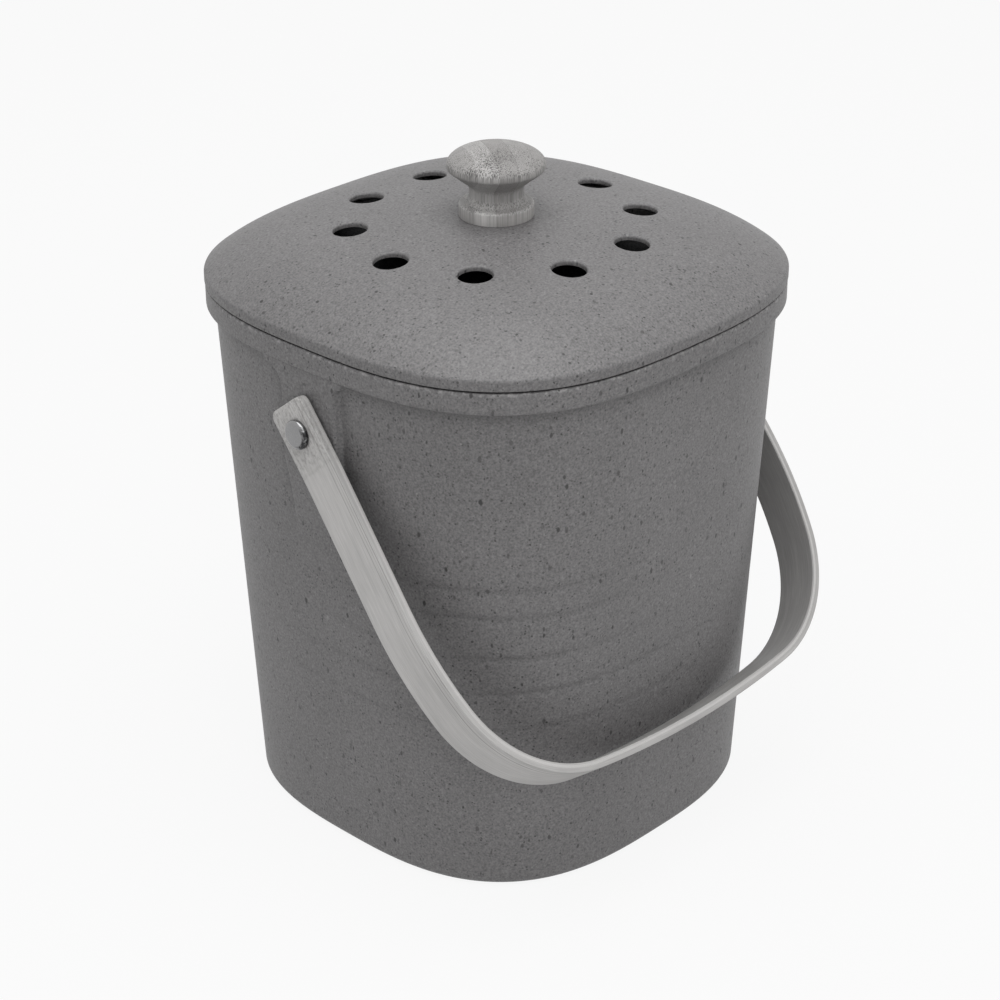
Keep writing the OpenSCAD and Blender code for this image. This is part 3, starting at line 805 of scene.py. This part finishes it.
lidShape = {
    "half": 0.095,
    "edgeTall": 0.0045,
    "shoulder": 0.0113,
    "shoulderPower": 6,
    "crown": 0.0069,
    "thick": 0.0028,
    "seatGap": 0.0003,
    "lineTall": 0.0006,  # shadow line between lid and rim
    "lineDeep": 0.0018,
    "plugGap": 0.0012,
    "plugDeep": 0.009,
    "plugThick": 0.0024,
    "plugFoot": 0.0009,  # rounding of the foot
    "edgeRound": 0.0016,
    "lowRound": 0.0005,
    "inCorner": 0.002,
    "knobHole": 0.0023,
}
filterRing = {  # moulded under the lid, holds the filter
    "inside": 0.0654,
    "outside": 0.0676,
    "rise": 0.002,  # foot of the ring below the seam
    "footRound": 0.0007,
}
ventShape = {
    "count": 10,
    "ring": 0.0528,
    "radius": 0.0062,
    "mouth": 0.0009,  # rounding of the upper mouth
    "lowerMouth": 0.0004,
    "lip": 0.0010,  # straight wall above the relief on the underside
    "relief": 0.0016,
    "arcSteps": 32,
    "sideSteps": 16,
    "innerRing": 0.0425,
    "outerRing": 0.0632,
}


def domeHeight(x, y):
    level = planLevel(x, y) / lidShape["half"]
    base = seam + lidShape["edgeTall"]
    shoulder = lidShape["shoulder"] * (1 - level ** lidShape["shoulderPower"])
    return base + shoulder + lidShape["crown"] * (1 - level * level)


def domePoint(x, y, drop):
    return (x, y, domeHeight(x, y) - drop)


def ventBorder(middle):  # plan points round the share of the dome that carries one air hole
    low = middle - pi / ventShape["count"]
    high = middle + pi / ventShape["count"]
    near, far = ventShape["innerRing"], ventShape["outerRing"]
    wide, deep = ventShape["arcSteps"], ventShape["sideSteps"]
    border = [polar(near, mix(low, high, i / wide)) for i in range(wide)]
    border += [polar(mix(near, far, i / deep), high) for i in range(deep)]
    border += [polar(far, mix(high, low, i / wide)) for i in range(wide)]
    return border + [polar(mix(far, near, i / deep), low) for i in range(deep)]


def ventShare(maker, middle, drop):  # ends with the loop where the wall of the hole begins
    upper = drop == 0
    mouth = ventShape["mouth"] if upper else ventShape["lowerMouth"]
    edge = ventShape["radius"] + mouth + (0.0 if upper else ventShape["relief"])
    cx, cy = polar(ventShape["ring"], middle)
    border = ventBorder(middle)
    rays = [atan2(y - cy, x - cx) for x, y in border]

    def around(radius):
        return [(cx + radius * cos(ray), cy + radius * sin(ray)) for ray in rays]

    rows = []
    for t in (0.0, 0.04, 0.1, 0.2, 0.34, 0.5, 0.68, 0.85, 1.0):
        rows.append([domePoint(mix(p[0], q[0], t), mix(p[1], q[1], t), drop)
                     for p, q in zip(around(edge), border)])
    maker.grid(rows)
    sign = 1 if upper else -1
    neck = []
    for angle in range(0, 91, 15):
        q = radians(angle)
        sunk = drop + sign * mouth * (1 - cos(q))
        neck.append([domePoint(x, y, sunk) for x, y in around(edge - mouth * sin(q))])
    maker.grid(neck)
    return neck[-1]


def lidSheet(maker, angles, drop):  # one skin of the domed part with its air holes
    radii = [lidShape["knobHole"], 0.003, 0.005, 0.008, 0.0115, 0.0155, 0.020, 0.025, 0.030, 0.0345,
             0.0385, ventShape["innerRing"]]
    maker.grid([[domePoint(*polar(r, a), drop) for a in angles] for r in radii])
    count = ventShape["count"]
    return [ventShare(maker, 2 * pi * vent / count, drop) for vent in range(count)]


def ventWall(maker, top, bottom):  # straight down, out to the relief and down again
    lip = ventShape["lip"]
    crisp = 0.00005  # loops this close to an edge keep it sharp under smooth shading
    down = [(0.0, drop) for drop in (0.0, lip / 2, lip - crisp)]
    out = [(t, lip) for t in (0.0, 0.03, 0.5, 0.97, 1.0)]
    rows = []
    for t, drop in down + out + [(1.0, lip + crisp)]:
        rows.append([(mix(p[0], q[0], t), mix(p[1], q[1], t), p[2] - drop) for p, q in zip(top, bottom)])
    maker.grid(rows + [bottom])


def lidEdge(slope, reach):  # (half width, height) pairs round the edge and down the plug
    half = lidShape["half"]
    bend = lidShape["edgeRound"]
    turn = lidShape["lowRound"]
    centre = seam + lidShape["edgeTall"] - reach
    low = seam + lidShape["lineTall"]
    points = arc(half - bend, centre, bend, 90 - degrees(slope), 0, 7)[1:]
    points += [(half, mix(centre, low + turn, t)) for t in (0.35, 0.7)]
    points += arc(half - turn, low + turn, turn, 0, -90, 6)
    plug = plan["topHalf"] - plan["wall"] - lidShape["plugGap"]
    skirt = plug - lidShape["plugThick"]
    foot = seam - lidShape["plugDeep"]
    seat = seam + lidShape["seatGap"]
    inset = half - lidShape["lineDeep"]
    tail = [(half - turn, low, 0), (inset, low, 0.0001), (inset, seat, 0.0001), (plug, seat, 0.0008)]
    tail += [(plug, foot, lidShape["plugFoot"]), (skirt, foot, 0.0008), (skirt, foot + 0.02, 0)]
    return points + roundOutline(tail)[1:-1], skirt


def lidSkirt(maker, angles):  # from the outermost ring of the dome round the edge to its underside
    half = lidShape["half"]
    start = ventShape["outerRing"]
    plans = [(a, planFactor(a)) for a in angles]
    slope = atan((lidShape["shoulder"] * lidShape["shoulderPower"] + 2 * lidShape["crown"]) / half)
    reach = lidShape["edgeRound"] * tan((pi / 2 - slope) / 2)
    rim = half - reach * cos(slope)
    rows = []
    for i in range(27):
        t = 1 - (1 - i / 26) ** 1.5
        rows.append([domePoint(*polar(mix(start, rim * f, t), a), 0.0) for a, f in plans])
    edge, skirt = lidEdge(slope, reach)
    rows += [[(*polar(level * f, a), z) for a, f in plans] for level, z in edge]
    for i in range(27):
        t = (i / 26) ** 1.3
        drop = lidShape["thick"] + (0.0 if i else lidShape["inCorner"])
        rows.append([domePoint(*polar(mix(skirt * f, start, t), a), drop) for a, f in plans])
    maker.grid(rows)


def makeLid():
    maker = MeshMaker()
    thick = lidShape["thick"]
    count = ventShape["count"]
    steps = count * ventShape["arcSteps"]
    angles = [2 * pi * (i / steps) - pi / count for i in range(steps)]
    upper = lidSheet(maker, angles, 0.0)
    lower = lidSheet(maker, angles, thick)
    for top, bottom in zip(upper, lower):
        ventWall(maker, top, bottom)
    hole = [polar(lidShape["knobHole"], a) for a in angles]
    maker.grid([[domePoint(x, y, drop) for x, y in hole] for drop in (0.0, thick)])
    lidSkirt(maker, angles)
    near, far, turn = filterRing["inside"], filterRing["outside"], filterRing["footRound"]
    foot = seam - filterRing["rise"]
    top = domeHeight(far, 0.0) - thick + 0.0004
    ring = roundOutline([(near, top, 0), (near, foot, turn), (far, foot, turn), (far, top, 0)])
    revolve(maker, ring + [(near, top)], 192)
    obj = maker.build("lidSkin", lidPlastic)
    markPaintedShade(obj, lidPaintedShade)
    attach(obj, "lid")
    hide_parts("lid_shell", "filter_collar")


makeLid()
print("lid made")

knobShape = {
    "seat": 0.0142,  # the foot stands on the dome at this radius
    "foot": 0.0136,
    "footTall": 0.0049,
    "footRound": 0.0012,
    "neck": 0.0098,
    "flareHigh": 0.0012,  # where the neck meets the top of the foot
    "coneLow": 0.01143,
    "coneTop": 0.01768,  # where the cone would meet the rim of the cap
    "rimRound": 0.00165,
    "cap": 0.01774,
    "capHigh": 0.01902,
    "capFull": 0.947,  # below 1 the crown is fuller than an ellipse
    "tall": 0.02572,
    "bore": 0.00325,
    "boreDeep": 0.012,
    "steps": 144,
}


def knobOutline():
    s = knobShape
    flare = s["flareHigh"]
    points = [(s["bore"], s["boreDeep"]), (s["bore"], 0.0006), (s["bore"] + 0.0004, 0.0)]
    points += [(s["foot"] - 0.0003, 0.0), (s["foot"] - 0.0001, 0.0001), (s["foot"], 0.0003)]
    side = [(s["foot"], 0.0003, 0), (s["foot"], s["footTall"], s["footRound"])]
    side += [(s["neck"] + flare, s["footTall"] + flare / 2, 0.0016)]
    side += [(s["neck"], s["footTall"] + flare * 2.4, 0.0022), (s["neck"], s["coneLow"], 0.0032)]
    side += [(s["cap"], s["coneTop"], s["rimRound"]), (s["cap"], s["capHigh"], 0)]
    points += roundOutline(side, 8)[1:]
    for angle in range(5, 90, 5):
        q = radians(angle)
        points.append((s["cap"] * cos(q) ** s["capFull"],
                       mix(s["capHigh"], s["tall"], sin(q))))
    return points


def makeKnob():
    maker = MeshMaker()
    base = domeHeight(knobShape["seat"], 0.0)
    outline = [(radius, height + base) for radius, height in knobOutline()]
    steps = knobShape["steps"]
    revolve(maker, outline, steps)
    maker.fan(circle(*outline[-1], steps), (0.0, 0.0, base + knobShape["tall"]))
    maker.fan(circle(*outline[0], steps), (0.0, 0.0, outline[0][1]), True)
    obj = maker.build("knobTurned", knobWood)
    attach(obj, "lid")
    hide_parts("knob")


makeKnob()
print("knob made")

stripShape = {
    "wide": 0.0191,
    "thick": 0.0034,
    "drop": 0.1521,
    "bowAngle": 6.54,
    "cornerRadius": 0.0503,
    "cornerAngle": 76.5,
    "legRadius": 0.1536,
    "lean": 1.61,
    "toeRadius": 0.400,
    "flat": 0.011,
    "end": 0.0112,
    "endRound": 0.0032,
    "edgeRound": 0.00022,
    "restGap": 0.0003,
    "pivotHalf": 0.09665,  # middle of the strip at the pivot
    "pivotHigh": 0.1741,
    "bore": 0.00193,
}


def stripNumbers():  # radius of the shallow bow at the bottom, and the angle at which the handle rests
    s = stripShape
    bow = radians(s["bowAngle"])
    corner = radians(s["cornerAngle"])
    lean = radians(s["lean"])
    tighter = s["cornerRadius"] - s["legRadius"]
    k = s["drop"] - s["cornerRadius"] * cos(bow) + tighter * cos(corner)
    k -= s["legRadius"] * sin(lean) + s["flat"] + s["toeRadius"] * sin(lean)
    top = s["pivotHalf"] + s["cornerRadius"] * sin(bow) - tighter * sin(corner)
    top += s["toeRadius"] * (1 - cos(lean)) - s["legRadius"] * cos(lean) + tan(lean) * k
    bowRadius = top / (sin(bow) + tan(lean) * (1 - cos(bow)))
    taper = (plan["topHalf"] - plan["baseHalf"]) / seam
    down = s["drop"] - s["thick"] / 2
    u = down + taper * s["wide"] / 2
    v = taper * down - s["wide"] / 2
    reach = (s["restGap"] + plan["baseHalf"] + taper * s["pivotHigh"]) / hypot(u, v)
    return bowRadius, asin(reach) - atan2(v, u)


def stripBend(x, down, radius, start, end, steps):  # (x, down, heading) along one bend of the strip
    headings = [mix(start, end, i / steps) for i in range(steps + 1)]
    return [(x + radius * sin(a), down + radius * cos(a), a) for a in headings]


def stripPath(bowRadius):  # along the middle of one half, from the bottom to the end
    s = stripShape
    bow = radians(s["bowAngle"])
    corner = radians(s["cornerAngle"])
    last = radians(90 + s["lean"])
    level = pi / 2
    widest = bowRadius - s["cornerRadius"]
    tighter = s["cornerRadius"] - s["legRadius"]
    x = widest * sin(bow)
    down = s["drop"] - bowRadius + widest * cos(bow)
    points = stripBend(0.0, s["drop"] - bowRadius, bowRadius, 0.0, bow, 16)[:-1]
    points += stripBend(x, down, s["cornerRadius"], bow, corner, 48)[:-1]
    x += tighter * sin(corner)
    down += tighter * cos(corner)
    points += stripBend(x, down, s["legRadius"], corner, last, 20)
    toe = stripBend(s["pivotHalf"] + s["toeRadius"], s["flat"], -s["toeRadius"], last, level, 8)
    here, there = points[-1], toe[0]
    shares = [i / 30 for i in range(1, 30)]
    points += [(mix(here[0], there[0], t), mix(here[1], there[1], t), last) for t in shares]
    turn = s["endRound"]
    stops = [mix(s["flat"], turn - s["end"], i / 12) for i in range(1, 13)]
    stops += [turn - s["end"] - turn * sin(level * i / 14) for i in range(1, 15)]
    return points + toe + [(s["pivotHalf"], down, level) for down in stops]


def crossSection(halfWide, halfThick, edge):  # rounded rectangle, (across, out)
    rounds = []
    for start, sx, sy in ((0, 1, 1), (90, -1, 1), (180, -1, -1), (270, 1, -1)):
        rounds.append(arc(sx * (halfWide - edge), sy * (halfThick - edge), edge, start, start + 90, 4))
    points = []
    for turn, steps in enumerate((8, 2, 8, 2)):
        (ax, ay), (bx, by) = rounds[turn][-1], rounds[(turn + 1) % 4][0]
        points += rounds[turn]
        points += [(mix(ax, bx, i / steps), mix(ay, by, i / steps)) for i in range(1, steps)]
    return points


def roundedBack(radius, gap):  # how far a rounded end stands back at this distance from it
    return radius - sqrt(max(0.0, radius ** 2 - (radius - gap) ** 2)) if gap < radius else 0.0


def makeHandle():
    s = stripShape
    bowRadius, rest = stripNumbers()
    print("handle rests at", round(degrees(rest), 2))
    half = stripPath(bowRadius)
    path = [(-x, down, -heading) for x, down, heading in half[:0:-1]] + half
    lengths = [0.0]
    for a, b in zip(path, path[1:]):
        lengths.append(lengths[-1] + hypot(a[0] - b[0], a[1] - b[1]))
    edge = s["edgeRound"]
    rows = []
    tags = []
    for (x, down, heading), length in zip(path, lengths):
        gap = min(length, lengths[-1] - length)
        halfWide = s["wide"] / 2 - roundedBack(s["endRound"], gap)
        halfThick = s["thick"] / 2 - roundedBack(edge, gap)
        row = []
        for across, out in crossSection(halfWide, halfThick, edge):
            height = -(down + out * cos(heading))
            row.append((x + out * sin(heading), across * cos(rest) + height * sin(rest),
                        s["pivotHigh"] - across * sin(rest) + height * cos(rest)))
            v = across + stripBamboo["outerShift"]
            if out < edge - halfThick + 0.00001:  # the face towards the bin
                v = across + stripBamboo["innerShift"]
            elif abs(across) > halfWide - 0.00001:
                v += copysign(halfThick - out, across)
            tags.append((length, v))
        rows.append(row)
    maker = MeshMaker()
    maker.grid(rows)
    width = len(rows[0])
    end = len(maker.points)
    maker.faces.append(tuple(range(width))[::-1])
    maker.faces.append(tuple(range(end - width, end)))
    obj = maker.plain("handleStrip", stripWood)
    layer = obj.data.uv_layers.new(name="grain")
    for loop in obj.data.loops:
        layer.data[loop.index].uv = tags[loop.vertex_index]
    for polygon in obj.data.polygons:
        polygon.use_smooth = len(polygon.vertices) == 4
    bpy.context.view_layer.update()
    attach(obj, "handle")
    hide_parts("handle")


makeHandle()
print("handle made")

rivetShape = {
    "headRadius": 0.0054,
    "headTall": 0.0023,
    "headEdge": 0.0003,
    "shank": 0.00185,
    "headFace": 0.0985,
    "rimTall": 0.0007,  # straight side of the head
    "shoulder": 0.0014,  # rounded shoulder round the flat face
    "crown": 0.0002,
    "inside": 0.08599,
    "steps": 96,
}


def rivetOutline():  # (radius, distance from the middle of the bin)
    s = rivetShape
    turn = s["headEdge"]
    low = s["headFace"]
    face = s["headRadius"] - s["shoulder"]
    points = [(0.0, s["inside"]), (s["shank"] - 0.0002, s["inside"]), (s["shank"], s["inside"] + 0.0002)]
    points += [(s["shank"], low)] + arc(s["headRadius"] - turn, low + turn, turn, -90, 0, 4)
    high = s["headTall"] - s["rimTall"] - s["crown"]
    points += arc(face, low + s["rimTall"], s["shoulder"], 0, 90, 12, high)
    inward = [1 - i / 12 for i in range(1, 13)]
    return points + [(face * t, low + s["headTall"] - s["crown"] * t ** 2) for t in inward]


def makeRivets():
    for side, name in ((-1, "rivetLeft"), (1, "rivetRight")):
        rows = []
        for radius, out in rivetOutline():
            ring = circle(radius, side * out, rivetShape["steps"])
            rows.append([(x, y, padShape["pivot"] + z) for y, z, x in ring])
        maker = MeshMaker()
        maker.grid(rows)
        obj = maker.build(name, rivetSteel)
        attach(obj, "bin")
        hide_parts("rivet_left" if side < 0 else "rivet_right")


makeRivets()
print("rivets made")

carried = {
    "knob_insert": brassMetal,
    "knob_screw": zincSteel,
    "knob_washer": zincSteel,
    "carbon_filter": feltMaterial,
    "filter_cover": coverShadePlastic,
    "spacer_left": spacerPlastic,
    "spacer_right": spacerPlastic,
    "inner_washer_left": zincSteel,
    "inner_washer_right": zincSteel,
    "clench_cap_left": polishedSteel,
    "clench_cap_right": polishedSteel,
}
for name, material in carried.items():
    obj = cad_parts[name]
    obj.data.materials.clear()
    obj.data.materials.append(material)
    bevel = obj.modifiers.new("softEdge", "BEVEL")
    bevel.width = 0.0003
    bevel.segments = 2
    bevel.limit_method = "ANGLE"
    bevel.angle_limit = 0.7
print("carried parts dressed")

stageSet = {
    "floorHalf": 6.0,
    "floorColour": (0.56, 0.56, 0.56, 1),
    "cameraWhite": (0.996, 0.996, 0.996, 1),
    "shadowShare": 0.1,
}


def seenRays(desk):  # 1 for rays from the camera, also by way of a mirror or glass
    path = desk.add("ShaderNodeLightPath").outputs
    return desk.math("MAXIMUM", path["Is Camera Ray"],
                     desk.math("MAXIMUM", path["Is Glossy Ray"], path["Is Transmission Ray"]))


def mixSurface(desk, share, first, second, kind):
    joined = desk.add("ShaderNodeMixShader", None, {0: share, 1: first.outputs[0], 2: second.outputs[0]})
    desk.add(kind, None, {"Surface": joined.outputs[0]})


def makeStageMaterial():
    material, desk = emptyMaterial("paleFloor")
    diffuse = desk.add("ShaderNodeBsdfDiffuse", None, {"Color": stageSet["floorColour"]})
    glow = desk.add("ShaderNodeEmission", None, {"Color": stageSet["cameraWhite"], "Strength": 1.0})
    share = desk.times(seenRays(desk), 1 - stageSet["shadowShare"])
    mixSurface(desk, share, diffuse, glow, "ShaderNodeOutputMaterial")
    return material


floorMaker = MeshMaker()
reach = stageSet["floorHalf"]
floorMaker.points = [(-reach, -reach, 0), (reach, -reach, 0), (reach, reach, 0), (-reach, reach, 0)]
floorMaker.faces = [(0, 1, 2, 3)]
floorObj = floorMaker.plain("studioFloor", makeStageMaterial())

cameraSet = {
    "turn": -46.104,
    "rise": 27.651,
    "roll": -0.249,
    "distance": 0.995475,
    "aim": (0.0, 0.0, 0.1),
    "lens": 94.2156,
    "shiftX": 0.002241,
    "shiftY": 0.028508,
}
cameraData = bpy.data.cameras.new("studioCamera")
cameraObj = bpy.data.objects.new("studioCamera", cameraData)
scene.collection.objects.link(cameraObj)
turn = radians(cameraSet["turn"])
rise = radians(cameraSet["rise"])
back = Vector((sin(turn) * cos(rise), -cos(turn) * cos(rise), sin(rise)))
cameraObj.location = Vector(cameraSet["aim"]) + back * cameraSet["distance"]
level = back.to_track_quat("Z", "Y").to_matrix()
cameraObj.rotation_euler = (level @ Matrix.Rotation(radians(cameraSet["roll"]), 3, "Z")).to_euler()
cameraData.sensor_width = 36.0
cameraData.lens = cameraSet["lens"]
cameraData.shift_x = cameraSet["shiftX"]
cameraData.shift_y = cameraSet["shiftY"]
scene.camera = cameraObj

lamps = [
    {"name": "topSoftbox", "at": (-0.1, -0.1, 1.6), "size": 1.4, "power": 15.5},
    {"name": "rightSoftbox", "at": (0.9, -1.6, 0.9), "size": 1.2, "power": 3},
    {"name": "frontSoftbox", "at": (-1.0, -1.3, 1.4), "size": 1.2, "power": 8},
]
for lamp in lamps:
    data = bpy.data.lights.new(lamp["name"], "AREA")
    data.shape = "SQUARE"
    data.size = lamp["size"]
    data.energy = lamp["power"]
    obj = bpy.data.objects.new(lamp["name"], data)
    obj.location = lamp["at"]
    toward = Vector((0, 0, 0.12)) - Vector(lamp["at"])
    obj.rotation_euler = toward.to_track_quat("-Z", "Y").to_euler()
    scene.collection.objects.link(obj)

skySet = {
    "brightSide": (-0.68, -0.68, 0.27),
    "near": 0.72,
    "far": 0.42,
}
world = bpy.data.worlds.new("studioWorld")
scene.world = world
world.use_nodes = True
world.node_tree.nodes.clear()
desk = NodeDesk(world.node_tree)
toward = desk.add("ShaderNodeVectorMath", {"operation": "DOT_PRODUCT"},
                  {0: desk.add("ShaderNodeTexCoord").outputs["Generated"], 1: skySet["brightSide"]})
skyLevel = desk.remap(toward.outputs["Value"], -0.7, 0.8, skySet["far"], skySet["near"])
fill = desk.add("ShaderNodeBackground", None, {"Color": (1, 1, 1, 1), "Strength": skyLevel})
seenSky = desk.add("ShaderNodeBackground", None, {"Color": stageSet["cameraWhite"], "Strength": 1.0})
mixSurface(desk, seenRays(desk), fill, seenSky, "ShaderNodeOutputWorld")
scene.view_settings.view_transform = "Standard"
print("stage, camera and lights set")
